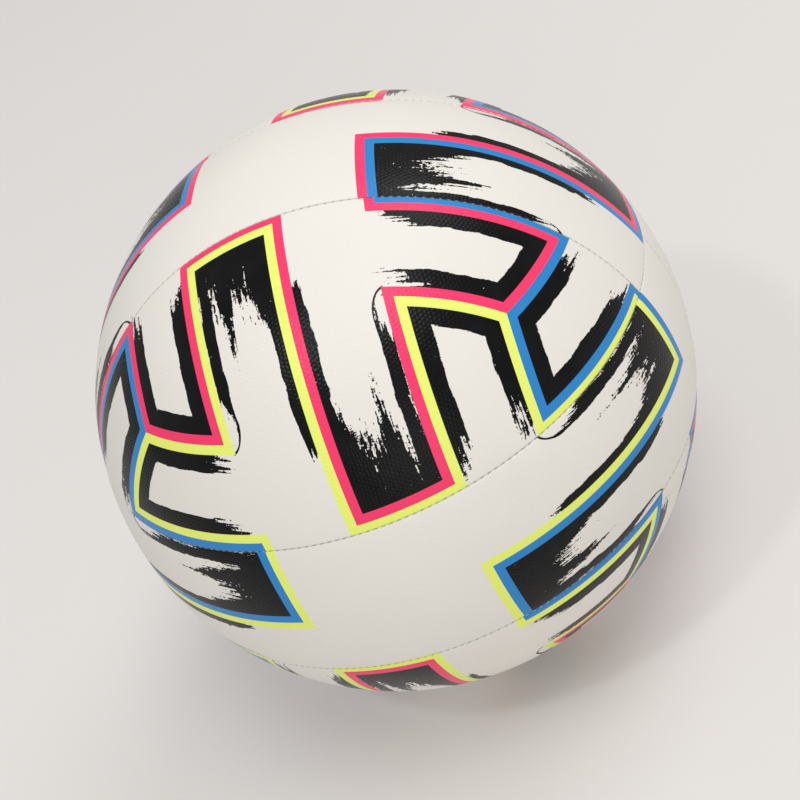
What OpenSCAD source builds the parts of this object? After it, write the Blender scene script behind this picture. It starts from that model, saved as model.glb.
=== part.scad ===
// Stitched soccer ball, full match size: eight covered panels, their seams, the bladder and the valve.
// The origin is the ball's centre. The belt seams are level and the valve looks along +Y.

/* [Ball] */
// Outside diameter of the finished, inflated ball, in mm
ball_diameter = 220; // [205:1:224]
// Distance of each seam plane from the ball's centre, as a share of the radius
seam_share = 0.277; // [0.25:0.001:0.3]

/* [Panel layers] */
// Thickness of the outer cover skin
cover_thickness = 0.9; // [0.7:0.1:1.5]
// Thickness of the foam bonded under the skin
foam_thickness = 2.2; // [1.5:0.1:3.5]
// Thickness of the woven backing bonded under the foam
backing_thickness = 0.9; // [0.6:0.1:1.4]
// Glue line between two bonded layers
glue_line = 0.1; // [0.05:0.01:0.15]

/* [Seams] */
// Thickness of the edge that each cover turns in along a seam
turned_edge = 1.4; // [1.2:0.1:2]
// Gap between the two turned-in edges of a seam
seam_gap = 0.3; // [0.2:0.05:0.5]
// Width of the groove that a seam shows on the outside
groove_width = 2.6; // [1.6:0.1:4]
// Depth of that groove
groove_depth = 0.8; // [0.4:0.1:1.2]
// Radius of the sewing thread's cord in the seam
thread_radius = 0.45; // [0.3:0.05:0.5]
// Depth of the thread's centre line under the ball's surface
thread_depth = 2.2; // [2:0.1:2.6]

/* [Bladder] */
// Thickness of the rubber bladder
bladder_thickness = 0.9; // [0.7:0.1:1.4]

/* [Valve] */
// Radius of the valve neck that comes through the cover
neck_radius = 3.2; // [2.8:0.1:4.5]
// Radius of the valve's foot inside the bladder
foot_radius = 11; // [8:0.5:15]
// Thickness of the valve's foot
foot_thickness = 1.6; // [1:0.1:2.5]
// Radius of the valve's barrel inside the bladder
barrel_radius = 4.6; // [4.2:0.1:6]
// Depth of the barrel's end under the ball's surface
barrel_depth = 19; // [17:0.5:24]
// Radius of the reinforcing patch round the valve
patch_radius = 17; // [16:0.5:24]
// Thickness of the reinforcing patch
patch_thickness = 0.7; // [0.5:0.1:1.2]
// Radius of the plug that seals the valve
plug_radius = 2; // [1.8:0.1:2.2]
// Radius of the plug's retaining collar
collar_radius = 2.7; // [2.6:0.1:3.4]
// Radius of the passage for an inflation needle
needle_radius = 1; // [0.9:0.05:1.1]
// Length of the needle passage, from the funnel down to the slit
needle_length = 10; // [8:0.5:11]

/* [Hidden] */
$fn = 120;

radius = ball_diameter / 2;
seam_offset = seam_share * radius;
reach = radius + 20;

// Each layer's outer radius, from the skin inwards
foam_radius = radius - cover_thickness - glue_line;
backing_radius = foam_radius - foam_thickness - glue_line;
lining_radius = backing_radius - backing_thickness;
bladder_radius = lining_radius - glue_line;
patch_outer_radius = bladder_radius - bladder_thickness - glue_line;
foot_outer_radius = patch_outer_radius - patch_thickness - glue_line;

// The layers stop clear of a cover's turned-in edge
layer_inset = seam_gap / 2 + turned_edge + glue_line;
thread_channel = thread_radius + 0.05;
thread_end_gap = 2 * thread_radius;
push_fit = 0.02;
valve_clearance = 0.1;

// Heights along the valve's axis, from the ball's centre
neck_top = radius - 0.5;
plug_top = radius - 1.1;
funnel_depth = 0.7;
funnel_radius = needle_radius + 0.6;
passage_end = plug_top - funnel_depth - needle_length;
plug_end = passage_end - 3.4;
slit_width = 0.2;
collar_height = 1.6;
collar_middle = (plug_top + plug_end) / 2;
barrel_end = radius - barrel_depth;

// A panel's block is the space between its seam planes, as its lowest and highest corners
TOP_FRONT = [[-reach, -reach, seam_offset], [reach, -seam_offset, reach]];
TOP_MIDDLE = [[-reach, -seam_offset, seam_offset], [reach, seam_offset, reach]];
TOP_BACK = [[-reach, seam_offset, seam_offset], [reach, reach, reach]];
BELT_FRONT = [[-reach, -reach, -seam_offset], [reach, 0, seam_offset]];
BELT_BACK = [[-reach, 0, -seam_offset], [reach, reach, seam_offset]];

COVER_COLOUR = [0.93, 0.92, 0.89];
FOAM_COLOUR = [0.86, 0.84, 0.76];
BACKING_COLOUR = [0.78, 0.8, 0.8];
THREAD_COLOUR = [0.97, 0.97, 0.95];
BLADDER_COLOUR = [0.13, 0.13, 0.14];
VALVE_COLOUR = [0.2, 0.2, 0.21];
PLUG_COLOUR = [0.32, 0.32, 0.33];

module block(panel, inset) {
    low = panel[0] + [inset, inset, inset];
    high = panel[1] - [inset, inset, inset];
    translate(low) cube(high - low);
}

// A cylinder along the valve's axis between two heights
module valve_cylinder(r, from, to) {
    rotate([-90, 0, 0]) translate([0, 0, from]) cylinder(r = r, h = to - from);
}

// A panel's part of a spherical layer
module panel_layer(panel, inset, outer, inner) {
    difference() {
        intersection() {
            sphere(outer);
            block(panel, inset);
        }
        sphere(inner);
    }
}

// The groove of a seam that circles the Z axis in the plane z = offset
module seam_groove(offset) {
    circle_radius = sqrt(radius * radius - offset * offset);
    lean = asin(offset / radius);
    rotate_extrude() translate([circle_radius, offset]) rotate(lean)
        polygon([[-groove_depth, 0], [0.4, -groove_width / 2], [0.4, groove_width / 2]]);
}

// A cord that follows the seam in the plane z = offset, under the ball's surface
module seam_cord(offset, cord_radius) {
    depth_radius = radius - thread_depth;
    circle_radius = sqrt(depth_radius * depth_radius - offset * offset);
    rotate_extrude() translate([circle_radius, offset]) circle(cord_radius, $fn = 32);
}

// Turns what circles the Z axis so that it circles the Y axis, on the +Y side
module round_y() {
    rotate([-90, 0, 0]) children();
}

// What both seams of a pole take away from its three panels: each groove and its thread's channel
module pole_seam_cuts() {
    seam_groove(seam_offset);
    seam_cord(seam_offset, thread_channel);
    for (side = [0, 1]) mirror([0, side, 0]) round_y() {
        seam_groove(seam_offset);
        seam_cord(seam_offset, thread_channel);
    }
}

module belt_seam_cuts() {
    for (side = [0, 1]) mirror([0, 0, side]) {
        seam_groove(seam_offset);
        seam_cord(seam_offset, thread_channel);
    }
    round_y() {
        seam_groove(0);
        seam_cord(0, thread_channel);
    }
}

// A cover is a thin skin with its edges turned in along the seams, as deep as all its layers
module cover_body(panel) {
    difference() {
        panel_layer(panel, seam_gap / 2, radius, lining_radius);
        intersection() {
            sphere(radius - cover_thickness);
            block(panel, seam_gap / 2 + turned_edge);
        }
    }
}

module pole_cover(panel) {
    difference() {
        cover_body(panel);
        pole_seam_cuts();
    }
}

module belt_cover(panel) {
    difference() {
        cover_body(panel);
        belt_seam_cuts();
    }
}

module foam_layer(panel) {
    panel_layer(panel, layer_inset, foam_radius, foam_radius - foam_thickness);
}

module backing_layer(panel) {
    panel_layer(panel, layer_inset, backing_radius, lining_radius);
}

module cover_top_front() { color(COVER_COLOUR) pole_cover(TOP_FRONT); }
module cover_top_middle() { color(COVER_COLOUR) pole_cover(TOP_MIDDLE); }
module cover_top_back() { color(COVER_COLOUR) pole_cover(TOP_BACK); }
module cover_belt_front() { color(COVER_COLOUR) belt_cover(BELT_FRONT); }
module cover_belt_back() {
    color(COVER_COLOUR) difference() {
        belt_cover(BELT_BACK);
        valve_cylinder(neck_radius + valve_clearance, lining_radius - 5, reach);
    }
}
module cover_bottom_front() { color(COVER_COLOUR) mirror([0, 0, 1]) pole_cover(TOP_FRONT); }
module cover_bottom_middle() { color(COVER_COLOUR) mirror([0, 0, 1]) pole_cover(TOP_MIDDLE); }
module cover_bottom_back() { color(COVER_COLOUR) mirror([0, 0, 1]) pole_cover(TOP_BACK); }

module foam_top_front() { color(FOAM_COLOUR) foam_layer(TOP_FRONT); }
module foam_top_middle() { color(FOAM_COLOUR) foam_layer(TOP_MIDDLE); }
module foam_top_back() { color(FOAM_COLOUR) foam_layer(TOP_BACK); }
module foam_belt_front() { color(FOAM_COLOUR) foam_layer(BELT_FRONT); }
module foam_belt_back() {
    color(FOAM_COLOUR) difference() {
        foam_layer(BELT_BACK);
        valve_cylinder(neck_radius + 3 * valve_clearance, lining_radius - 5, reach);
    }
}
module foam_bottom_front() { color(FOAM_COLOUR) mirror([0, 0, 1]) foam_layer(TOP_FRONT); }
module foam_bottom_middle() { color(FOAM_COLOUR) mirror([0, 0, 1]) foam_layer(TOP_MIDDLE); }
module foam_bottom_back() { color(FOAM_COLOUR) mirror([0, 0, 1]) foam_layer(TOP_BACK); }

module backing_top_front() { color(BACKING_COLOUR) backing_layer(TOP_FRONT); }
module backing_top_middle() { color(BACKING_COLOUR) backing_layer(TOP_MIDDLE); }
module backing_top_back() { color(BACKING_COLOUR) backing_layer(TOP_BACK); }
module backing_belt_front() { color(BACKING_COLOUR) backing_layer(BELT_FRONT); }
module backing_belt_back() {
    color(BACKING_COLOUR) difference() {
        backing_layer(BELT_BACK);
        valve_cylinder(neck_radius + 3 * valve_clearance, lining_radius - 5, reach);
    }
}
module backing_bottom_front() { color(BACKING_COLOUR) mirror([0, 0, 1]) backing_layer(TOP_FRONT); }
module backing_bottom_middle() { color(BACKING_COLOUR) mirror([0, 0, 1]) backing_layer(TOP_MIDDLE); }
module backing_bottom_back() { color(BACKING_COLOUR) mirror([0, 0, 1]) backing_layer(TOP_BACK); }

module thread_upper_circle() { color(THREAD_COLOUR) seam_cord(seam_offset, thread_radius); }
module thread_lower_circle() { color(THREAD_COLOUR) mirror([0, 0, 1]) thread_upper_circle(); }
module thread_top_back() {
    color(THREAD_COLOUR) intersection() {
        round_y() seam_cord(seam_offset, thread_radius);
        block([[-reach, -reach, seam_offset], [reach, reach, reach]], thread_end_gap);
    }
}
module thread_top_front() { mirror([0, 1, 0]) thread_top_back(); }
module thread_bottom_back() { mirror([0, 0, 1]) thread_top_back(); }
module thread_bottom_front() { mirror([0, 0, 1]) thread_top_front(); }
module thread_belt_right() {
    color(THREAD_COLOUR) intersection() {
        round_y() seam_cord(0, thread_radius);
        block([[0, -reach, -seam_offset], [reach, reach, seam_offset]], thread_end_gap);
    }
}
module thread_belt_left() { mirror([1, 0, 0]) thread_belt_right(); }

// The bladder is a closed sphere but for the hole that the valve's barrel and neck come through
module bladder() {
    color(BLADDER_COLOUR) difference() {
        sphere(bladder_radius);
        sphere(bladder_radius - bladder_thickness);
        valve_cylinder(neck_radius + valve_clearance, bladder_radius - 8, reach);
    }
}

module valve_patch() {
    color(BLADDER_COLOUR) difference() {
        intersection() {
            sphere(patch_outer_radius);
            valve_cylinder(patch_radius, patch_outer_radius - 8, reach);
        }
        sphere(patch_outer_radius - patch_thickness);
        valve_cylinder(neck_radius + valve_clearance, patch_outer_radius - 8, reach);
    }
}

// The rubber housing: a neck through the panel, a domed foot inside the patch and a barrel
module valve_housing() {
    color(VALVE_COLOUR) difference() {
        union() {
            valve_cylinder(neck_radius, foot_outer_radius - 4, neck_top);
            difference() {
                intersection() {
                    sphere(foot_outer_radius);
                    valve_cylinder(foot_radius, foot_outer_radius - 8, reach);
                }
                sphere(foot_outer_radius - foot_thickness);
            }
            valve_cylinder(barrel_radius, barrel_end, foot_outer_radius - foot_thickness / 2);
        }
        valve_cylinder(plug_radius + push_fit, barrel_end - 1, reach);
        valve_cylinder(collar_radius + push_fit, collar_middle - collar_height / 2 - push_fit,
            collar_middle + collar_height / 2 + push_fit);
    }
}

// The soft plug: a funnel and a passage for the needle, ended by a slit that air pressure shuts
module valve_plug() {
    color(PLUG_COLOUR) difference() {
        union() {
            valve_cylinder(plug_radius, plug_end, plug_top);
            valve_cylinder(collar_radius, collar_middle - collar_height / 2,
                collar_middle + collar_height / 2);
        }
        valve_cylinder(needle_radius, passage_end, reach);
        rotate([-90, 0, 0]) translate([0, 0, plug_top - funnel_depth])
            cylinder(r1 = needle_radius, r2 = funnel_radius, h = funnel_depth + 0.001);
        translate([-slit_width / 2, plug_end - 1, -needle_radius])
            cube([slit_width, passage_end - plug_end + 1.5, 2 * needle_radius]);
    }
}

cover_top_front();
cover_top_middle();
cover_top_back();
cover_belt_front();
cover_belt_back();
cover_bottom_front();
cover_bottom_middle();
cover_bottom_back();
foam_top_front();
foam_top_middle();
foam_top_back();
foam_belt_front();
foam_belt_back();
foam_bottom_front();
foam_bottom_middle();
foam_bottom_back();
backing_top_front();
backing_top_middle();
backing_top_back();
backing_belt_front();
backing_belt_back();
backing_bottom_front();
backing_bottom_middle();
backing_bottom_back();
thread_upper_circle();
thread_lower_circle();
thread_top_front();
thread_top_back();
thread_bottom_front();
thread_bottom_back();
thread_belt_right();
thread_belt_left();
bladder();
valve_patch();
valve_housing();
valve_plug();
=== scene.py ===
import math

import bpy
import numpy as np
from mathutils import Matrix, Vector


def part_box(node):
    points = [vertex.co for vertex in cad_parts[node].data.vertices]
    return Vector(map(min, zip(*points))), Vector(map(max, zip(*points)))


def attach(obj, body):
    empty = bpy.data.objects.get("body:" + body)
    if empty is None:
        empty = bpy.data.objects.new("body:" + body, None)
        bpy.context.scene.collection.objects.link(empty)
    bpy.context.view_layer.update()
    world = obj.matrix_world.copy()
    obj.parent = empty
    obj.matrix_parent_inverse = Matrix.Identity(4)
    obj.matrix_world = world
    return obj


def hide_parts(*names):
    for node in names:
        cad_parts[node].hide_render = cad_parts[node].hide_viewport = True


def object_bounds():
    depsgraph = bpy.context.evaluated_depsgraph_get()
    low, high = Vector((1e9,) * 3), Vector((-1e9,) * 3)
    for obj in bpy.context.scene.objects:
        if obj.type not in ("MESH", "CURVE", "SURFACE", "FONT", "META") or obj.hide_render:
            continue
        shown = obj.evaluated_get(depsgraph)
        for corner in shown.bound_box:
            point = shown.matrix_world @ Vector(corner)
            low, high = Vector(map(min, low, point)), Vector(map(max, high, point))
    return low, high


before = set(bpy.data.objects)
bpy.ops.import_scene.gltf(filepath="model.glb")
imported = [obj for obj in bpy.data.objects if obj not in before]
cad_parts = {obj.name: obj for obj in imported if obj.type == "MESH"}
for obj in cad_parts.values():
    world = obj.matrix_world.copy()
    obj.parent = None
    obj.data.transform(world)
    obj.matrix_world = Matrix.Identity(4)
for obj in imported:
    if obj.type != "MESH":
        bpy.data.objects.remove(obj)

cad_low, cad_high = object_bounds()

MM = 0.001
RADIUS = (cad_high.z - cad_low.z) / 2 / MM  # the ball's radius, in mm

# The seams' planes, measured on the frame: the lower edges of the upper panels stand just over them
SEAM_GAP = 0.3
SEAM_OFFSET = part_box("cover_top_front")[0].z / MM - SEAM_GAP / 2
BELT_WIDTH = 2 * math.asin(SEAM_OFFSET / RADIUS) * RADIUS
STITCHES_PER_CIRCLE = 248

EDGE_GAP = 0.08      # the narrow gap between two panels where their rolled edges nearly meet
SKIN = 0.7           # the turned-in edges' inner faces stand this far in from the seam's gap
SKIN_DROP = 0.25     # the skin is as thick as SKIN and this together, clear of the rolled edges
FLANGE_END = 3.8     # depth of the turned-in edges
NECK_WALL = 0.5      # the valve's neck is this much wider than the plug's collar, on each side
NECK_ROOM = 0.25     # and has this much room in the skin's hole
VALVE_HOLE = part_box("valve_plug")[1].x / MM + (NECK_WALL + NECK_ROOM)
VALVE_WINDOW = 8.5   # half the width of the block of cells that the valve's hole replaces

# How the skin drops towards a seam: a tight roll at the edge and a soft pillow over some millimetres
ROLL_DROP = 0.36
ROLL_WIDTH = 0.22
PILLOW_DROP = 0.26
PILLOW_WIDTH = 3.2

# The covers' grid, in mm: the step at a seam, how it grows away from it, and the widest steps
FIRST_STEP = 0.16
STEP_GROWTH = 1.3
WIDEST_ACROSS = 1.6
WIDEST_ALONG = 2.0

CORD_RADIUS = 0.4    # the thread's cord under the gap
CORD_DEPTH = 2.2
STITCH_RADIUS = 0.13
STITCH_DEPTH = 0.60  # of a stitch's middle
STITCH_ARCH = 0.30   # its ends lie this much deeper
STITCH_REACH = 0.26  # from the seam to a stitch's end, across the seam
STITCH_SLANT = 0.20  # and along it
CORD_STEP = 1.6      # the cord's straight pieces are about this long
SEAM_END = 1.2       # a short seam's thread ends this far from the seam it runs into
TUBE_SIDES = 8

PRINT_TURN = 0.32    # the most that a panel's print is turned about one axis, in degrees
MIDDLE_SLIP = 1.5    # the top middle panel's print sits this much too near to the front, in mm
MIDDLE_TWIST = 1.0   # and is turned this much in its own plane, in degrees
PANELS = ["top_front", "top_middle", "top_back", "belt_front", "belt_back",
          "bottom_front", "bottom_middle", "bottom_back"]


# ---------------------------------------------------------------- camera

CAMERA_ROUND = math.radians(17.5)     # how far the camera stands round to the right of the ball's front
CAMERA_RISE = math.radians(35.9)      # how far it looks down
CAMERA_ROLL = math.radians(28.6)      # how far it is turned on its own axis
CAMERA_DISTANCE = 5.97                # from the ball's centre, in radii
CAMERA_LENS = 79.7                    # in mm, for a sensor 36 mm wide
CAMERA_SHIFT = (0.0047, -0.012)       # puts the ball where the picture has it, a little off the middle


def make_camera():
    """The camera looks at the ball's centre from above and in front, turned on its own axis."""
    back = Vector((math.sin(CAMERA_ROUND) * math.cos(CAMERA_RISE),
                   -math.cos(CAMERA_ROUND) * math.cos(CAMERA_RISE),
                   math.sin(CAMERA_RISE)))
    level = Vector((math.cos(CAMERA_ROUND), math.sin(CAMERA_ROUND), 0))
    up = back.cross(level) * math.cos(CAMERA_ROLL) + level * math.sin(CAMERA_ROLL)
    right = up.cross(back)
    data = bpy.data.cameras.new("camera")
    data.lens = CAMERA_LENS
    data.sensor_width = 36
    data.shift_x, data.shift_y = CAMERA_SHIFT
    camera = bpy.data.objects.new("camera", data)
    bpy.context.scene.collection.objects.link(camera)
    turn = Matrix((right, up, back)).transposed()
    camera.matrix_world = Matrix.Translation(back * CAMERA_DISTANCE * RADIUS * MM) @ turn.to_4x4()
    bpy.context.scene.camera = camera
    return right, up, back


RIGHT, UP, BACK = make_camera()


# ---------------------------------------------------------------- shader arithmetic

class Num:
    """A number in a shader, so that formulas on it read as arithmetic."""

    def __init__(self, sheet, socket):
        self.sheet = sheet
        self.socket = socket

    def __add__(self, other):
        return self.sheet.math("ADD", self, other)

    __radd__ = __add__

    def __sub__(self, other):
        return self.sheet.math("SUBTRACT", self, other)

    def __rsub__(self, other):
        return self.sheet.math("SUBTRACT", other, self)

    def __mul__(self, other):
        return self.sheet.math("MULTIPLY", self, other)

    __rmul__ = __mul__

    def __truediv__(self, other):
        return self.sheet.math("DIVIDE", self, other)

    def __gt__(self, other):
        return self.sheet.math("GREATER_THAN", self, other)

    def __lt__(self, other):
        return self.sheet.math("LESS_THAN", self, other)

    def __abs__(self):
        return self.sheet.math("ABSOLUTE", self)


class Sheet:
    """Makes the nodes of one material."""

    def __init__(self, name):
        self.material = bpy.data.materials.new(name)
        self.material.use_nodes = True
        self.tree = self.material.node_tree
        self.tree.nodes.clear()
        output = self.node("ShaderNodeOutputMaterial")
        self.shader = self.node("ShaderNodeBsdfPrincipled")
        self.tree.links.new(self.shader.outputs["BSDF"], output.inputs["Surface"])

    def node(self, kind, **settings):
        made = self.tree.nodes.new(kind)
        for key, value in settings.items():
            setattr(made, key, value)
        return made

    def feed(self, target, value):
        """Joins a number, a socket or a constant to an input."""
        if isinstance(value, Num):
            value = value.socket
        if isinstance(value, bpy.types.NodeSocket):
            self.tree.links.new(value, target)
        else:
            target.default_value = value

    def math(self, operation, *values):
        made = self.node("ShaderNodeMath", operation=operation)
        for target, value in zip(made.inputs, values):
            self.feed(target, value)
        return Num(self, made.outputs[0])

    def least(self, *values):
        found = values[0]
        for value in values[1:]:
            found = self.math("MINIMUM", found, value)
        return found

    def most(self, *values):
        found = values[0]
        for value in values[1:]:
            found = self.math("MAXIMUM", found, value)
        return found

    def between(self, value, low, high):
        """0 below low, 1 above high, straight between."""
        made = self.node("ShaderNodeMapRange")
        self.feed(made.inputs["Value"], value)
        made.inputs["From Min"].default_value = low
        made.inputs["From Max"].default_value = high
        return Num(self, made.outputs["Result"])

    def choose(self, test, if_one, if_zero):
        """if_one where test is 1, if_zero where it is 0, for numbers."""
        return if_zero + test * (if_one - if_zero)

    def split(self, vector):
        made = self.node("ShaderNodeSeparateXYZ")
        self.feed(made.inputs[0], vector)
        return [Num(self, out) for out in made.outputs]

    def join(self, x, y, z):
        made = self.node("ShaderNodeCombineXYZ")
        for target, value in zip(made.inputs, (x, y, z)):
            self.feed(target, value)
        return made.outputs[0]

    def position(self):
        """The place on the ball, in metres."""
        return self.node("ShaderNodeTexCoord").outputs["Object"]

    def noise(self, vector, scale, detail=2.0, roughness=0.5):
        """Noise about 0, from about -0.5 to 0.5."""
        made = self.node("ShaderNodeTexNoise")
        self.feed(made.inputs["Vector"], vector)
        made.inputs["Scale"].default_value = scale
        made.inputs["Detail"].default_value = detail
        made.inputs["Roughness"].default_value = roughness
        return Num(self, made.outputs["Fac"]) - 0.5

    def blend(self, amount, one, two):
        """Colour one where amount is 0, two where it is 1."""
        made = self.node("ShaderNodeMix", data_type="RGBA")
        self.feed(made.inputs["Factor"], amount)
        for target, value in zip(made.inputs[6:8], (one, two)):
            self.feed(target, (*value, 1.0) if isinstance(value, tuple) else value)
        return made.outputs[2]

    def bump(self, height, strength, distance):
        made = self.node("ShaderNodeBump")
        self.feed(made.inputs["Height"], height)
        made.inputs["Strength"].default_value = strength
        made.inputs["Distance"].default_value = distance
        self.tree.links.new(made.outputs["Normal"], self.shader.inputs["Normal"])

    def cells(self, vector, scale, feature="F1", smooth=0.0):
        made = self.node("ShaderNodeTexVoronoi", feature=feature)
        self.feed(made.inputs["Vector"], vector)
        made.inputs["Scale"].default_value = scale
        if feature == "SMOOTH_F1":
            made.inputs["Smoothness"].default_value = smooth
        return Num(self, made.outputs["Distance"])


# ---------------------------------------------------------------- the cover's print

WHITE = (0.83, 0.80, 0.745)
WHITE_LIGHT = (0.85, 0.825, 0.775)
BLACK = (0.003, 0.003, 0.003)
BLACK_LIGHT = (0.008, 0.008, 0.009)
PINK = (0.96, 0.055, 0.17)
YELLOW = (0.86, 0.96, 0.20)
BLUE = (0.033, 0.25, 0.62)
GRAIN_PITCH = 1.5                       # distance between the pebbles of the skin's grain, in mm

# Places on the print, as distances in mm along the ball from the planes through its centre
LEG = math.radians(17.64) * RADIUS      # the legs of the zigzag stand this far out
HUB = math.asin(1 / math.sqrt(3)) * RADIUS     # the point where three zigzags meet
STRIP = math.radians(1.68) * RADIUS     # width of one coloured strip
ARM_BAND = 5.9                          # width of the black along the arms and outside the outer legs
LEG_BAND = 4.5                          # width of the black along the inside of the outer legs
MIDDLE_BAND = 3.5                       # width of the black along the middle leg


def print_places(s, direction):
    """Brings a direction into the one cell that the print repeats 24 times.

    In the cell x is the smallest of three positive coordinates. Returns the distances in mm from the planes
    x, y and z = 0, and the strip's colours on the two sides of the cell's zigzag."""
    x, y, z = s.split(direction)
    ax, ay, az = abs(x), abs(y), abs(z)
    least_x = s.math("MULTIPLY", ax < ay, ax < az)
    least_y = s.math("MULTIPLY", 1 - least_x, ay < az)
    least_z = 1 - least_x - least_y
    first = least_x * ay + least_y * az + least_z * ax
    second = least_x * az + least_y * ax + least_z * ay
    swap = (x * y * z) < 0.0
    cell = [s.least(ax, ay, az), s.choose(swap, second, first), s.choose(swap, first, second)]
    places = [s.math("ARCSINE", value) * RADIUS for value in cell]
    # The colour of a pair of opposite faces: blue on x, pink on y, yellow on z
    first_colour = s.blend(least_y, s.blend(least_z, PINK, BLUE), YELLOW)
    second_colour = s.blend(least_y, s.blend(least_z, YELLOW, PINK), BLUE)
    upper = s.blend(swap, first_colour, second_colour)
    lower = s.blend(swap, second_colour, first_colour)
    return places, upper, lower


def zigzag_distance(s, x, y, z):
    """Distance in mm from the zigzag's middle line, where two strips meet, kept square at its corners."""
    return s.least(
        s.most(abs(z - HUB), LEG - x, x - HUB),          # the arm from the hub
        s.most(abs(x - LEG), LEG - y, HUB - z),          # the outer leg
        s.most(abs(y - LEG), x - LEG),                   # the foot
        s.most(x, LEG - y, LEG - z),                     # the middle leg
        s.most(abs(y - HUB), LEG - z, z - HUB),          # the next cell's arm
        s.most(abs(z - LEG), LEG - x, HUB - y),          # the next cell's outer leg
        s.most(abs(x - HUB), LEG - y, y - HUB))          # the last cell's arm


def brush_marks(s, x, y, z, direction):
    """1 where the black brush marks are. Each mark is a field in mm that is positive inside it.

    The numbers are in mm on the ball. Noise that is added to an edge frays it by about half its factor."""
    millimetres = s.node("ShaderNodeVectorMath", operation="SCALE")
    s.feed(millimetres.inputs[0], direction)
    millimetres.inputs["Scale"].default_value = RADIUS
    place = millimetres.outputs[0]
    px, py, pz = s.split(place)

    def bristles(across, width, along, detail=1.0):
        """Streaks that run where across stays the same: width and along are their sizes in mm."""
        vector = s.join(px / along + across / width, py / along, pz / along)
        return s.noise(vector, 1.0, detail=detail, roughness=0.55)

    blots = s.noise(place, 0.75, detail=2.0, roughness=0.6)
    speckle = s.noise(place, 1.7, detail=1.0)
    wobble = 1.6 * s.noise(place, 0.14, detail=1.0)
    leg_coarse = bristles(x, 2.0, 15.0)
    leg_fine = bristles(x, 0.75, 8.0, 2.0)
    arm_coarse = bristles(z, 2.0, 15.0)
    arm_fine = bristles(z, 0.75, 8.0, 2.0)
    leg_edge = wobble + 1.1 * leg_coarse + 1.2 * leg_fine + 0.6 * blots
    arm_edge = wobble + 1.1 * arm_coarse + 1.2 * arm_fine + 0.6 * blots
    leg_end = 16.0 * leg_coarse + 26.0 * leg_fine + 16.0 * blots + 10.0 * speckle
    arm_end = 22.0 * arm_coarse + 26.0 * arm_fine + 14.0 * blots + 8.0 * speckle

    beside_leg = x - LEG - STRIP
    beside_arm = z - LEG - STRIP
    arm = s.most(
        s.least(STRIP + ARM_BAND + arm_edge - (HUB - z), HUB - z, x - LEG - 3.5 + arm_end, HUB + STRIP - x),
        s.least(STRIP + ARM_BAND + arm_edge - (z - HUB), z - HUB, x - LEG),
        STRIP + ARM_BAND + arm_edge - s.most(abs(y - HUB), LEG - z, z - HUB),
        STRIP + ARM_BAND + leg_edge - s.most(abs(x - HUB), LEG - y, y - HUB))
    far_sides = s.most(
        s.least(ARM_BAND + leg_edge - beside_leg, x - LEG, z - HUB,
                y - LEG - 2.0 - 1.6 * beside_leg + 0.7 * leg_end, y - LEG + 1.0),
        s.least(ARM_BAND + arm_edge - beside_arm, z - LEG, y - HUB,
                x - LEG - 2.0 - 1.6 * beside_arm + 0.7 * arm_end, x - LEG + 1.0))
    tail = s.between(y, 100.0, 121.0)
    middle_leg = s.least(STRIP + MIDDLE_BAND * (1.0 - 0.5 * tail) + leg_edge - x, y - LEG,
                         113.5 + 0.5 * leg_end - y)

    # Inside the outer leg the stroke bends to the outer tip; there it is hollow and only its rim is left
    in_stroke = (LEG - x - STRIP) / LEG_BAND
    bent = s.most(y - 92.6, 0.0) / 6.9
    from_rim = 1.0 - s.math("SQRT", s.math("MULTIPLY", s.most(in_stroke, 0.0), in_stroke)
                            + s.math("MULTIPLY", bent, bent))
    rim = 0.10 + 0.25 * s.between(y, 98.0, 90.0) + 0.80 * s.between(y, 90.0, 82.0)
    frayed = s.between(y, 98.0, 92.0) * (9.0 * leg_fine + 3.0 * speckle)
    inner_leg = s.least(
        LEG_BAND * from_rim + leg_edge * s.between(y, 99.0, 84.0) + 0.1,
        LEG - STRIP + 0.6 - x,
        y - LEG,
        LEG_BAND * (rim - from_rim) + frayed)

    # The foot is a solid block whose upper edge runs out in dry bristle streaks, with one long tooth
    shoulder = s.least(88.0 - 2.6 * x, 70.0)
    tooth = 74.0 - 6.0 * abs(x - 20.3)
    dry = 57.0 - 6.0 * s.between(x, 20.0, 23.0)
    dryness = s.between(x, 9.0, 12.0) + 0.5 * s.between(x, 20.0, 23.0)
    foot_end = 0.7 * leg_end + dryness * (18.0 * leg_fine + 12.0 * blots)
    foot = s.least(LEG - x, y - LEG, s.most(shoulder, tooth, dry) + foot_end - y)
    marks = s.most(arm, far_sides, middle_leg, inner_leg, foot)
    # Small specks of bare skin inside the paint
    specks = s.between(s.noise(place, 0.55, detail=3.0, roughness=0.65), 0.235, 0.245)
    return s.math("MULTIPLY", s.between(marks, -0.06, 0.06), 1 - specks)


def seam_marks(s, position):
    """1 where a stitch's hole is painted dark in a seam, and how near a seam a place is, from 0 to 1, for the
    painted shade along the groove. Distances are in mm.
    """
    x, y, z = [value / MM for value in s.split(position)]
    level = abs(z)
    side = abs(y)
    to_circle = abs(level - SEAM_OFFSET)
    to_arc = s.most(abs(side - SEAM_OFFSET), 8.0 * (SEAM_OFFSET - level))
    to_joint = s.most(side, 8.0 * (level - SEAM_OFFSET))
    round_z = s.math("COSINE", s.math("ARCTAN2", y, x) * STITCHES_PER_CIRCLE)
    round_y = s.math("COSINE", s.math("ARCTAN2", z, x) * STITCHES_PER_CIRCLE)
    dashes = s.most(
        s.least(s.between(round_z, 0.1, 0.6), s.between(to_circle, 0.34, 0.16)),
        s.least(s.between(round_y, 0.1, 0.6), s.between(s.least(to_arc, to_joint), 0.34, 0.16)))
    # How near a seam a place is: it carries the painted groove shade, with a little grime
    groove_shade_and_grime = s.between(s.least(to_circle, to_arc, to_joint), 0.7, 0.05)
    return dashes, groove_shade_and_grime


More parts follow.
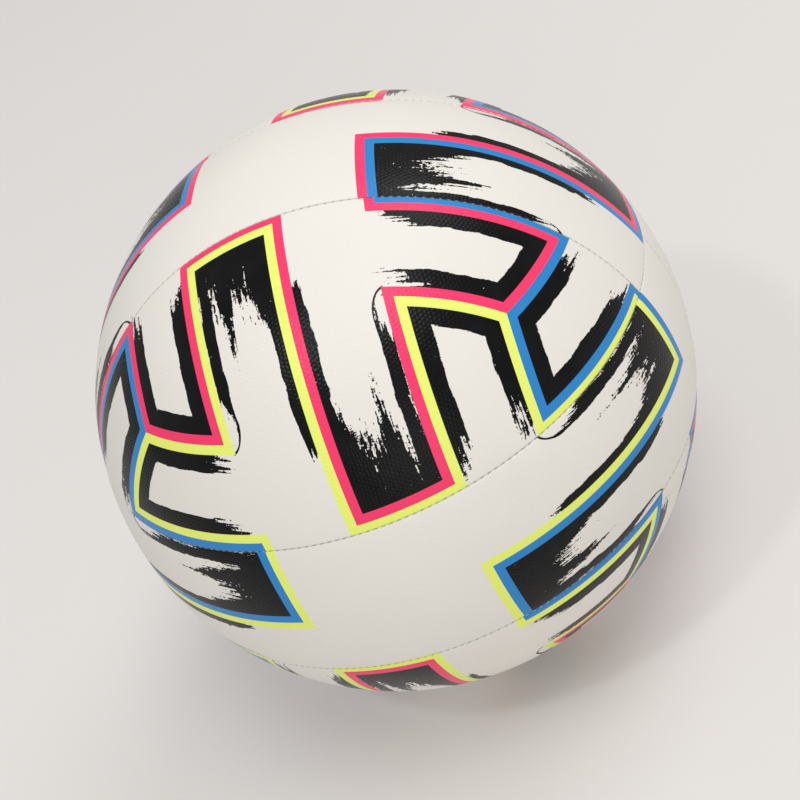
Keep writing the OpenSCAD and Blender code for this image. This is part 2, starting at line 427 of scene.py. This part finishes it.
def grain_height(s):
    """Small round pebbles in rows, like the pressed grain of a synthetic leather."""
    stored = s.node("ShaderNodeAttribute", attribute_name="grain_place")
    u, v, _ = s.split(stored.outputs["Vector"])
    waver = s.noise(s.position(), 1 / (6.0 * MM), detail=1.0)
    jitter = s.noise(s.position(), 1 / (1.9 * MM), detail=1.0)
    u, v = u + 1.2 * waver + 1.1 * jitter, v - 0.9 * waver + 0.8 * jitter
    turn = 2 * math.pi / (GRAIN_PITCH * math.sin(math.pi / 3))
    waves = []
    for angle in (0, math.pi / 3, 2 * math.pi / 3):
        waves.append(s.math("COSINE", u * (turn * math.cos(angle)) + v * (turn * math.sin(angle))))
    return (waves[0] + waves[1] + waves[2]) / 3.0


def cover_material():
    """Warm white skin with a fine pebble grain and the print over it."""
    s = Sheet("cover_skin")
    stored = s.node("ShaderNodeAttribute", attribute_name="print_direction")
    direction = s.node("ShaderNodeVectorMath", operation="NORMALIZE")
    s.feed(direction.inputs[0], stored.outputs["Vector"])
    direction = direction.outputs[0]
    position = s.position()

    (x, y, z), upper, lower = print_places(s, direction)
    line = zigzag_distance(s, x, y, z)
    on_strip = s.between(line, STRIP + 0.06, STRIP - 0.06)
    in_foot = s.math("MULTIPLY", x < LEG, y > LEG)
    past_arm = s.math("MULTIPLY", x > LEG, z < HUB)
    strip_colour = s.blend(s.most(in_foot, past_arm), lower, upper)
    black = brush_marks(s, x, y, z, direction)

    mottle = s.noise(position, 35.0, detail=3.0)
    white = s.blend(s.between(mottle, -0.35, 0.35), WHITE, WHITE_LIGHT)
    ink = s.blend(s.between(s.noise(position, 120.0, detail=2.0), -0.3, 0.3), BLACK, BLACK_LIGHT)
    colour = s.blend(black, white, ink)
    colour = s.blend(on_strip, colour, strip_colour)
    dashes, groove_shade_and_grime = seam_marks(s, position)
    # Painted shade: a brownish dark tint close to the seams stands in for the groove's shade, with a little
    # grime
    colour = s.blend(groove_shade_and_grime * 0.10, colour, (0.34, 0.30, 0.24))
    # Stitch holes: painted shade, dark on the bare skin for the shaded pits, and light on the black where the
    # pale thread shows
    pit_shade_and_thread_colour = s.blend(black, (0.16, 0.145, 0.11), (0.40, 0.47, 0.58))
    # Painted pit shade and thread colour laid over the stitch holes
    colour = s.blend(dashes * (0.45 + 0.40 * black), colour, pit_shade_and_thread_colour)
    s.feed(s.shader.inputs["Base Color"], colour)

    fine = s.noise(position, 1 / (0.5 * MM), detail=2.0)
    inked = s.most(black, on_strip)
    pebbles = grain_height(s) * (0.55 + 0.45 * inked)
    height = pebbles + 0.5 * fine + 0.5 * s.noise(position, 1 / (3.0 * MM), detail=2.0) - 2.0 * dashes
    s.bump(height, 0.6, 0.065 * MM)
    s.feed(s.shader.inputs["Roughness"], 0.42 - 0.16 * inked + 0.10 * mottle)
    s.shader.inputs["Specular IOR Level"].default_value = 0.14
    return s.material


# ---------------------------------------------------------------- other materials

def thread_material():
    """Pale twisted thread."""
    s = Sheet("seam_thread")
    position = s.position()
    twist = s.noise(position, 1 / (0.25 * MM), detail=1.0)
    colour = s.blend(s.between(twist, -0.3, 0.3), (0.62, 0.60, 0.56), (0.86, 0.85, 0.82))
    s.feed(s.shader.inputs["Base Color"], colour)
    s.shader.inputs["Roughness"].default_value = 0.7
    s.bump(twist, 0.5, 0.05 * MM)
    return s.material


def rubber_material(name, dark, light, grain, rough):
    """Moulded rubber: a faint bloom over a dark body and a very fine grain."""
    s = Sheet(name)
    position = s.position()
    bloom = s.noise(position, 90.0, detail=4.0, roughness=0.6)
    s.feed(s.shader.inputs["Base Color"], s.blend(s.between(bloom, -0.2, 0.3), dark, light))
    s.feed(s.shader.inputs["Roughness"], rough + 0.2 * bloom)
    s.bump(s.noise(position, 1 / (grain * MM), detail=3.0), 0.35, 0.05 * MM)
    return s.material


def foam_material():
    """Closed-cell foam: small round cells in a pale yellowish body."""
    s = Sheet("foam")
    position = s.position()
    pores = s.cells(position, 1 / (0.7 * MM))
    colour = s.blend(s.between(pores, 0.1, 0.7), (0.55, 0.53, 0.44), (0.76, 0.74, 0.64))
    s.feed(s.shader.inputs["Base Color"], colour)
    s.shader.inputs["Roughness"].default_value = 0.9
    s.bump(pores, 0.6, 0.15 * MM)
    return s.material


def cloth_material():
    """Plain weave: two sets of threads that cross, drawn on the ball's own level and upright circles."""
    s = Sheet("backing_cloth")
    x, y, z = [value / MM for value in s.split(s.position())]
    pitch = 0.9
    warp = s.math("SINE", s.math("ARCTAN2", y, x) * (RADIUS * 2 * math.pi / pitch))
    weft = s.math("SINE", z * (2 * math.pi / pitch))
    weave = warp * weft
    colour = s.blend(s.between(weave, -1.0, 1.0), (0.48, 0.50, 0.50), (0.70, 0.72, 0.72))
    s.feed(s.shader.inputs["Base Color"], colour)
    s.shader.inputs["Roughness"].default_value = 0.85
    s.bump(weave, 0.6, 0.1 * MM)
    return s.material


def floor_material():
    """Plain pale paper."""
    s = Sheet("floor_paper")
    shade = s.noise(s.position(), 2.0, detail=2.0)
    colour = s.blend(s.between(shade, -0.4, 0.4), (0.63, 0.612, 0.595), (0.65, 0.632, 0.615))
    s.feed(s.shader.inputs["Base Color"], colour)
    s.shader.inputs["Roughness"].default_value = 0.9
    # The floor gives a faint light of its own, which keeps the shadow soft
    s.shader.inputs["Emission Color"].default_value = (1.0, 0.965, 0.94, 1.0)
    s.shader.inputs["Emission Strength"].default_value = 0.15
    return s.material


COVER = cover_material()
THREAD = thread_material()
FOAM = foam_material()
CLOTH = cloth_material()
BLADDER = rubber_material("bladder_rubber", (0.012, 0.012, 0.013), (0.035, 0.034, 0.034), 0.5, 0.6)
VALVE = rubber_material("valve_rubber", (0.022, 0.022, 0.023), (0.050, 0.049, 0.049), 0.35, 0.5)
PLUG = rubber_material("plug_rubber", (0.060, 0.060, 0.061), (0.105, 0.104, 0.104), 0.35, 0.42)


# ---------------------------------------------------------------- mesh helpers

def mesh_object(name, points, faces, material, smooth=True):
    """A piece from points in mm and faces, riding on the one body."""
    mesh = bpy.data.meshes.new(name)
    mesh.from_pydata((np.asarray(points) * MM).tolist(), [], faces)
    mesh.validate()
    mesh.materials.append(material)
    if smooth:
        mesh.polygons.foreach_set("use_smooth", [True] * len(mesh.polygons))
    piece = bpy.data.objects.new(name, mesh)
    bpy.context.scene.collection.objects.link(piece)
    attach(piece, "root")
    return piece


def graded(length, first, growth, widest):
    """Shares from 0 to 1 of a length in mm, close together at both ends and no wider apart than widest."""
    half = [0.0]
    step = first
    while half[-1] + step < length / 2:
        half.append(half[-1] + step)
        step = min(step * growth, widest)
    half = np.array(half) / (half[-1] + step) / 2
    return np.concatenate([half, [0.5], 1 - half[::-1]])


# ---------------------------------------------------------------- the covers

def belt_points(inset):
    """Directions over the front belt panel, from row to row upwards and along it, inset from its seams."""
    edge = (SEAM_OFFSET - inset) / RADIUS
    rise = math.asin(edge)
    rows = (graded(BELT_WIDTH, FIRST_STEP, STEP_GROWTH, WIDEST_ACROSS) * 2 - 1) * rise
    along = graded(math.pi * RADIUS, FIRST_STEP, STEP_GROWTH, WIDEST_ALONG)
    z = np.sin(rows)[:, None] + 0 * along[None, :]
    ring = np.sqrt(1 - z * z)
    end = np.arcsin(inset / RADIUS / ring)
    turn = -math.pi + end + along[None, :] * (math.pi - 2 * end)
    return np.stack([ring * np.cos(turn), ring * np.sin(turn), z], -1)


def middle_points(inset):
    """Directions over the top middle panel."""
    edge = (SEAM_OFFSET - inset) / RADIUS
    lower = (SEAM_OFFSET + inset) / RADIUS
    lean = math.asin(edge)
    rows = (graded(BELT_WIDTH, FIRST_STEP, STEP_GROWTH, WIDEST_ACROSS) * 2 - 1) * lean
    along = graded(math.pi * RADIUS - BELT_WIDTH, FIRST_STEP, STEP_GROWTH, WIDEST_ALONG)
    y = -np.sin(rows)[:, None] + 0 * along[None, :]
    ring = np.sqrt(1 - y * y)
    start = np.arcsin(lower / ring)
    turn = start + along[None, :] * (math.pi - 2 * start)
    return np.stack([-ring * np.cos(turn), y, ring * np.sin(turn)], -1)


def lens_points(inset):
    """Directions over the top front panel: arcs from tip to tip, in planes that turn from seam to seam."""
    edge = (SEAM_OFFSET + inset) / RADIUS
    height = math.pi / 2 * RADIUS - BELT_WIDTH
    turn = graded(height, FIRST_STEP, STEP_GROWTH, WIDEST_ALONG)[:, None] * math.pi / 2
    away = np.stack([0 * turn, -np.cos(turn), np.sin(turn)], -1)
    start = np.array([0.0, -edge, edge])
    foot = -(away @ start)
    arc_radius = np.sqrt(1 - start @ start + foot * foot)
    reach = np.arccos(-foot / arc_radius)
    # The arcs stop just short of the tips, where they would all meet. Their points are laid out for a
    # length of 290 mm, a little more than the longest arc's, so they stand a little closer than asked
    short_of_tip = 0.9985
    along = graded(290.0, 0.3, 1.25, 2.2)[None, :] * 2 - 1
    beta = along * short_of_tip * reach
    out = foot + arc_radius * np.cos(beta)
    points = start + out[..., None] * away
    points[..., 0] += arc_radius * np.sin(beta)
    return points


def seam_distances(points, panel):
    """Distance in mm along the ball from each of the panel's seams."""
    x, y, z = np.moveaxis(points, -1, 0)
    offset = math.asin(SEAM_OFFSET / RADIUS)
    up = np.arcsin(np.clip(z, -1, 1))
    left = np.arcsin(np.clip(-y, -1, 1))
    found = {"belt": [offset - up, offset + up, left],
             "middle": [up - offset, offset - left, offset + left],
             "lens": [up - offset, left - offset]}[panel]
    return [np.abs(value) * RADIUS for value in found]


def sink(distances):
    """How far the skin drops towards the seams, in mm. The nearest seam counts most."""
    total = 0
    for distance in distances:
        roll = ROLL_DROP * np.exp(-distance / ROLL_WIDTH)
        drop = roll + PILLOW_DROP * np.exp(-(distance / PILLOW_WIDTH) ** 1.5)
        total = total + drop ** 4
    return total ** 0.25


def grid_faces(rows, columns, start, flip):
    quads = []
    for row in range(rows - 1):
        for column in range(columns - 1):
            corner = start + row * columns + column
            quad = (corner, corner + 1, corner + columns + 1, corner + columns)
            quads.append(quad[::-1] if flip else quad)
    return quads


def edge_loop(rows, columns, start):
    """The grid's outer points in order, counter-clockwise in rows and columns."""
    bottom = [start + column for column in range(columns)]
    right = [start + row * columns + columns - 1 for row in range(1, rows)]
    top = [start + (rows - 1) * columns + column for column in range(columns - 2, -1, -1)]
    left = [start + row * columns for row in range(rows - 2, 0, -1)]
    return bottom + right + top + left


def bridge(first, second):
    """Quads between two loops of equal length."""
    count = len(first)
    return [(first[i], second[i], second[(i + 1) % count], first[(i + 1) % count]) for i in range(count)]


def valve_window(rows, columns, points):
    """The block of grid cells round the valve: its first and last row and column.

    The panel is made facing -Y and is mirrored afterwards, so the valve's hole is made round -Y."""
    half = VALVE_WINDOW / RADIUS
    near = (np.abs(points[..., 0]) < half) & (np.abs(points[..., 2]) < half)
    inside_rows = np.where(near.any(1))[0]
    inside_columns = np.where(near.any(0))[0]
    return inside_rows[0], inside_rows[-1], inside_columns[0], inside_columns[-1]


def window_loop(columns, start, window):
    """The window's border points in order, counter-clockwise in rows and columns."""
    low, high, left, right = window
    bottom = [start + low * columns + column for column in range(left, right + 1)]
    side = [start + row * columns + right for row in range(low + 1, high + 1)]
    top = [start + high * columns + column for column in range(right - 1, left - 1, -1)]
    back = [start + row * columns + left for row in range(high - 1, low, -1)]
    return bottom + side + top + back


def panel_shell(kind, with_valve):
    """A closed thin skin with turned-in edges: points in mm and faces."""
    make = {"belt": belt_points, "middle": middle_points, "lens": lens_points}[kind]
    outer = make(EDGE_GAP / 2)
    inner = make(SEAM_GAP / 2 + SKIN)
    rows, columns = outer.shape[:2]
    count = rows * columns
    outer_height = RADIUS - sink(seam_distances(outer, kind))
    inner_height = np.full(outer_height.shape, RADIUS - SKIN - SKIN_DROP)
    points = [(outer * outer_height[..., None]).reshape(-1, 3),
              (inner * inner_height[..., None]).reshape(-1, 3)]
    window = valve_window(rows, columns, outer) if with_valve else None

    def skin_faces(start, flip):
        quads = grid_faces(rows, columns, start, flip)
        if window is None:
            return quads
        low, high, left, right = window
        holes = set()
        for row in range(low, high):
            for column in range(left, right):
                holes.add(row * (columns - 1) + column)
        return [quad for index, quad in enumerate(quads) if index not in holes]

    faces = skin_faces(0, False) + skin_faces(count, True)
    flat_outer = outer.reshape(-1, 3)
    flat_inner = inner.reshape(-1, 3)
    outer_edge = edge_loop(rows, columns, 0)
    inner_edge = edge_loop(rows, columns, count)

    def add_ring(places, before, flip=False):
        """Adds a ring of points, joins it to the ring before and returns its numbers."""
        first = sum(len(part) for part in points)
        ring = list(range(first, first + len(places)))
        points.append(places)
        quads = bridge(before, ring)
        faces.extend([quad[::-1] for quad in quads] if flip else quads)
        return ring

    # Down the turned-in edges' outer faces, across their ends and up their inner faces
    previous = outer_edge
    for depth in (1.6, 2.6, FLANGE_END):
        previous = add_ring(flat_outer[outer_edge] * (RADIUS - depth), previous)
    for depth in (FLANGE_END, 2.2):
        previous = add_ring(flat_inner[np.array(inner_edge) - count] * (RADIUS - depth), previous)
    faces += bridge(previous, inner_edge)

    if window is not None:
        outer_window = window_loop(columns, 0, window)
        inner_window = window_loop(columns, count, window)
        border = flat_outer[outer_window]
        angle = np.arctan2(border[:, 2], border[:, 0])
        size = np.hypot(border[:, 2], border[:, 0]) * RADIUS
        previous = outer_window
        # From the window's square border to the hole's round rim, then down into the hole
        rims = [(0.55, 0.0), (0.25, 0.0), (0.10, 0.02), (0.04, 0.10), (0.0, 0.30), (0.0, 0.62)]
        for share, depth in rims:
            distance = VALVE_HOLE + (size - VALVE_HOLE) * share
            places = np.stack([distance * np.cos(angle), 0 * distance, distance * np.sin(angle)], -1)
            places[:, 1] = -np.sqrt((RADIUS - depth) ** 2 - distance ** 2)
            previous = add_ring(places, previous, flip=True)
        faces += [quad[::-1] for quad in bridge(previous, inner_window)]
    return np.concatenate(points), faces


def outward(points, faces):
    """The faces turned so that the outer skin, whose first face is given first, looks outwards."""
    a, b, c = (points[index] for index in faces[0][:3])
    if np.dot(np.cross(b - a, c - a), a) < 0:
        return [face[::-1] for face in faces]
    return faces


def misprint(name, directions):
    """The direction that the print is read at: each panel was printed a little off before it was sewn."""
    seed = PANELS.index(name) + 1
    most = math.radians(PRINT_TURN)
    turn_x, turn_y, turn_z = (most * math.sin(seed * step + 0.7) for step in (2.1, 3.7, 5.3))
    if name == "top_middle":
        turn_x = -MIDDLE_SLIP / RADIUS
        turn_z = math.radians(MIDDLE_TWIST)
    small = Matrix.Rotation(turn_x, 3, "X") @ Matrix.Rotation(turn_y, 3, "Y")
    small = small @ Matrix.Rotation(turn_z, 3, "Z")
    # The print's own axes: x to the right, y up and z towards the front of the ball
    turned = directions @ np.array(small).T
    return np.stack([turned[:, 0], turned[:, 2], -turned[:, 1]], -1)


def grain_places(kind, directions):
    """Flat places in mm for the grain, along and across the panel's own middle line."""
    x, y, z = directions.T
    half = math.sqrt(0.5)
    ahead, across, sideways = {"belt": (-y, z, x), "middle": (z, y, x),
                               "lens": ((z - y) * half, (y + z) * half, x)}[kind]
    round_it = np.arctan2(sideways, ahead) * RADIUS
    return np.stack([round_it, np.arcsin(np.clip(across, -1, 1)) * RADIUS, 0 * x], -1)


def store(piece, name, vectors):
    kept = piece.data.attributes.new(name, "FLOAT_VECTOR", "POINT")
    kept.data.foreach_set("vector", vectors.astype(np.float32).ravel())


def panel_kind(name):
    """Which of the three shapes a panel has: a half belt, a pole's middle, or the lens beside it."""
    if name.startswith("belt"):
        return "belt"
    return "middle" if name.endswith("middle") else "lens"


def make_cover(name):
    """One panel's skin. It is made as a top or front panel and mirrored to its own place."""
    kind = panel_kind(name)
    points, faces = panel_shell(kind, name == "belt_back")
    faces = outward(points, faces)
    to_back = -1.0 if name.endswith("back") else 1.0
    to_bottom = -1.0 if name.startswith("bottom") else 1.0
    flips = np.array([1.0, to_back, to_bottom])
    points = points * flips
    if flips.prod() < 0:
        faces = [face[::-1] for face in faces]
    piece = mesh_object("skin_" + name, points, faces, COVER)
    directions = points / np.linalg.norm(points, axis=1)[:, None]
    store(piece, "print_direction", misprint(name, directions))
    store(piece, "grain_place", grain_places(kind, directions * flips))
    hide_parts("cover_" + name)
    return piece


for panel_name in PANELS:
    make_cover(panel_name)


# ---------------------------------------------------------------- the seams' thread

def seam_place(offset, angle):
    """The outward and the along direction at an angle on a seam that circles Z in the plane z = offset."""
    level = offset / RADIUS
    ring = math.sqrt(RADIUS ** 2 - offset ** 2) / RADIUS
    out = np.array([ring * math.cos(angle), ring * math.sin(angle), level])
    along = np.array([-math.sin(angle), math.cos(angle), 0.0])
    return out, along


def tube(points, frames, radius, closed):
    """A tube along points. Frames gives two directions for each ring, whose cross product points back."""
    sides = TUBE_SIDES
    made = []
    faces = []
    for point, (first, second) in zip(points, frames):
        for side in range(sides):
            turn = 2 * math.pi * side / sides
            made.append(point + radius * (math.cos(turn) * first + math.sin(turn) * second))
    count = len(points)
    for ring in range(count if closed else count - 1):
        following = (ring + 1) % count
        for side in range(sides):
            beside = (side + 1) % sides
            faces.append((following * sides + side, following * sides + beside,
                          ring * sides + beside, ring * sides + side))
    if not closed:
        faces.append(tuple(range(sides)))
        faces.append(tuple((count - 1) * sides + side for side in reversed(range(sides))))
    return made, faces


def stitch(out, along, across):
    """One visible stitch: a short arched bar of thread over the seam, sunk in the groove."""
    rings = 7
    points = []
    frames = []
    for step in range(rings):
        share = step / (rings - 1) * 2 - 1
        height = RADIUS - STITCH_DEPTH - STITCH_ARCH * share * share
        points.append(out * height + across * (STITCH_REACH * share) + along * (STITCH_SLANT * share))
        frames.append((along, out))
    return tube(points, frames, STITCH_RADIUS, False)


def make_seam(name, offset, start, end, axis, mirror):
    """The thread of one seam: a cord under the gap and a stitch at every needle hole.

    The seam is made round the Z axis between two angles, and then laid round its own axis and mirrored."""
    closed = end - start > 2 * math.pi - 0.01
    steps = int((end - start) * RADIUS / CORD_STEP)
    points = []
    frames = []
    for step in range(steps if closed else steps + 1):
        out, along = seam_place(offset, start + (end - start) * step / steps)
        across = np.cross(out, along)
        points.append(out * (RADIUS - CORD_DEPTH))
        frames.append((out, across))
    made, faces = tube(points, frames, CORD_RADIUS, closed)
    pitch = 2 * math.pi / STITCHES_PER_CIRCLE
    first = math.ceil(start / pitch)
    last = math.floor(end / pitch)
    for index in range(first, last if closed else last + 1):
        out, along = seam_place(offset, index * pitch)
        across = np.cross(out, along)
        more, more_faces = stitch(out, along, across)
        base = len(made)
        made += more
        faces += [tuple(base + corner for corner in face) for face in more_faces]
    made = np.array(made)
    if axis == "Y":
        made = made[:, [0, 2, 1]]
        faces = [face[::-1] for face in faces]
    made = made * mirror
    if np.prod(mirror) < 0:
        faces = [face[::-1] for face in faces]
    piece = mesh_object("stitching_" + name, made, faces, THREAD)
    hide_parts("thread_" + name)
    return piece


def make_seams():
    ring = math.sqrt(RADIUS ** 2 - SEAM_OFFSET ** 2)
    corner = math.asin((SEAM_OFFSET + SEAM_END) / ring)
    joint = math.asin((SEAM_OFFSET - SEAM_END) / RADIUS)
    full = (-math.pi, math.pi)
    make_seam("upper_circle", SEAM_OFFSET, *full, "Z", np.array([1, 1, 1]))
    make_seam("lower_circle", SEAM_OFFSET, *full, "Z", np.array([1, 1, -1]))
    for name, mirror in (("top_back", [1, 1, 1]), ("top_front", [1, -1, 1]),
                         ("bottom_back", [1, 1, -1]), ("bottom_front", [1, -1, -1])):
        make_seam(name, SEAM_OFFSET, corner, math.pi - corner, "Y", np.array(mirror))
    make_seam("belt_right", 0.0, -joint, joint, "Y", np.array([1, 1, 1]))
    make_seam("belt_left", 0.0, -joint, joint, "Y", np.array([-1, 1, 1]))


make_seams()


# ---------------------------------------------------------------- CAD nodes that stay

def dress(node, material):
    """Gives a CAD node that stays its material."""
    mesh_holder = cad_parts[node]
    for place in mesh_holder.material_slots:
        place.link = "OBJECT"
        place.material = material


def dress_inside():
    """The layers, the bladder and the valve stay as CAD made them."""
    for name in PANELS:
        dress("foam_" + name, FOAM)
        dress("backing_" + name, CLOTH)
    dress("bladder", BLADDER)
    dress("valve_patch", BLADDER)
    dress("valve_housing", VALVE)
    dress("valve_plug", PLUG)


dress_inside()


# ---------------------------------------------------------------- floor and light

def make_floor():
    """A wide level floor under the ball's lowest point."""
    half = 6.0
    lowest = cad_low.z
    mesh = bpy.data.meshes.new("floor")
    corners = [(-half, -half, lowest), (half, -half, lowest), (half, half, lowest), (-half, half, lowest)]
    mesh.from_pydata(corners, [], [(0, 1, 2, 3)])
    mesh.materials.append(floor_material())
    floor = bpy.data.objects.new("floor", mesh)
    bpy.context.scene.collection.objects.link(floor)


def make_light(name, place, size, power, colour):
    """A soft round light that looks at the ball's centre.

    Its place is in metres from that centre, along the camera's right, up and backward directions."""
    data = bpy.data.lights.new(name, "AREA")
    data.shape = "DISK"
    data.size = size
    data.energy = power
    data.color = colour
    light = bpy.data.objects.new(name, data)
    bpy.context.scene.collection.objects.link(light)
    light.location = RIGHT * place[0] + UP * place[1] + BACK * place[2]
    light.rotation_mode = "QUATERNION"
    light.rotation_quaternion = light.location.to_track_quat("Z", "Y")
    return light


def make_lights():
    world = bpy.data.worlds.new("studio")
    bpy.context.scene.world = world
    world.use_nodes = True
    background = world.node_tree.nodes["Background"]
    background.inputs["Color"].default_value = (1.0, 0.99, 0.985, 1.0)
    background.inputs["Strength"].default_value = 0.43
    make_light("key", (-0.43, 1.65, 2.5), 1.5, 29.0, (1.0, 0.985, 0.96))
    make_light("top_light", (0.2, 2.8, 1.1), 1.6, 21.0, (1.0, 0.99, 0.975))
    make_light("left_softbox", (-1.45, 0.65, 2.2), 0.24, 9.0, (0.94, 0.975, 1.0))
    make_light("front_fill", (0.28, -0.98, 2.6), 1.4, 7.0, (1.0, 0.985, 0.96))
    bpy.context.scene.view_settings.view_transform = "Standard"


make_floor()
make_lights()
